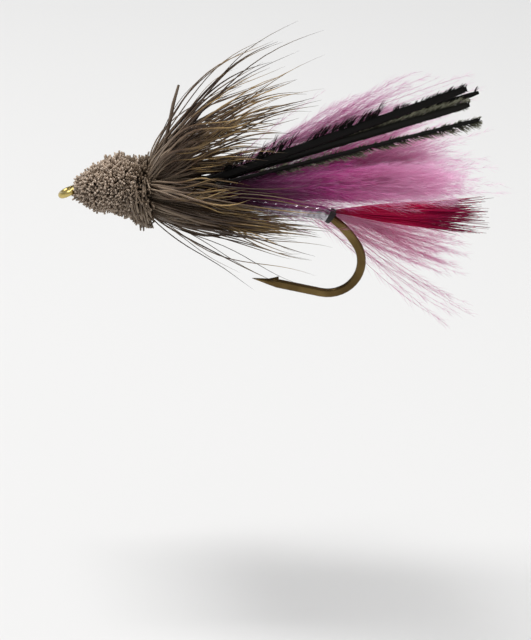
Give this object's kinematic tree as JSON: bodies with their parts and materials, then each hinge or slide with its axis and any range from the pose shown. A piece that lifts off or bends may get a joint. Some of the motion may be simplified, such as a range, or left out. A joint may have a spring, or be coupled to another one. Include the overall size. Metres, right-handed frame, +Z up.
{
  "type": "fishing fly",
  "caption": "Hair-headed streamer fly: bronze long-shank hook, tinsel body, red hackle tail, pink marabou wing under black herl, flared hair collar and clipped head.",
  "frame": {"origin": "centre of the hook's eye", "axes": "+X back along the shank towards the bend, +Z up on the side away from the hook point"},
  "size_m": [0.0421, 0.02, 0.0237],
  "materials": {
    "bronzed_wire": "satin",
    "tinsel": "gloss",
    "red_hackle": "satin",
    "pink_marabou": "matte",
    "black_herl": "satin",
    "collar_hair": "satin",
    "clipped_hair": "matte",
    "dark_butts": "matte",
    "black_thread": "satin",
    "grey_thread": "satin"
  },
  "bodies": {
    "root": {"hook": "bronzed_wire", "thread_base": "black_thread", "tinsel_body": "tinsel", "tail_fibres": "red_hackle", "tail_band": "black_thread", "wing_band": "grey_thread", "marabou_near": "pink_marabou", "marabou_far": "pink_marabou", "marabou_crest": "pink_marabou", "marabou_skirt": "pink_marabou", "herl_1": "black_herl", "herl_2": "black_herl", "herl_3": "black_herl", "herl_4": "black_herl", "collar_top": "collar_hair", "collar_near": "collar_hair", "collar_far": "collar_hair", "collar_under": "collar_hair", "collar_band": "grey_thread", "head_butts": "dark_butts", "head_mid": "clipped_hair", "head_front": "clipped_hair", "head_band_rear": "grey_thread", "head_band_front": "grey_thread", "whip_finish": "grey_thread"}
  },
  "joints": []
}
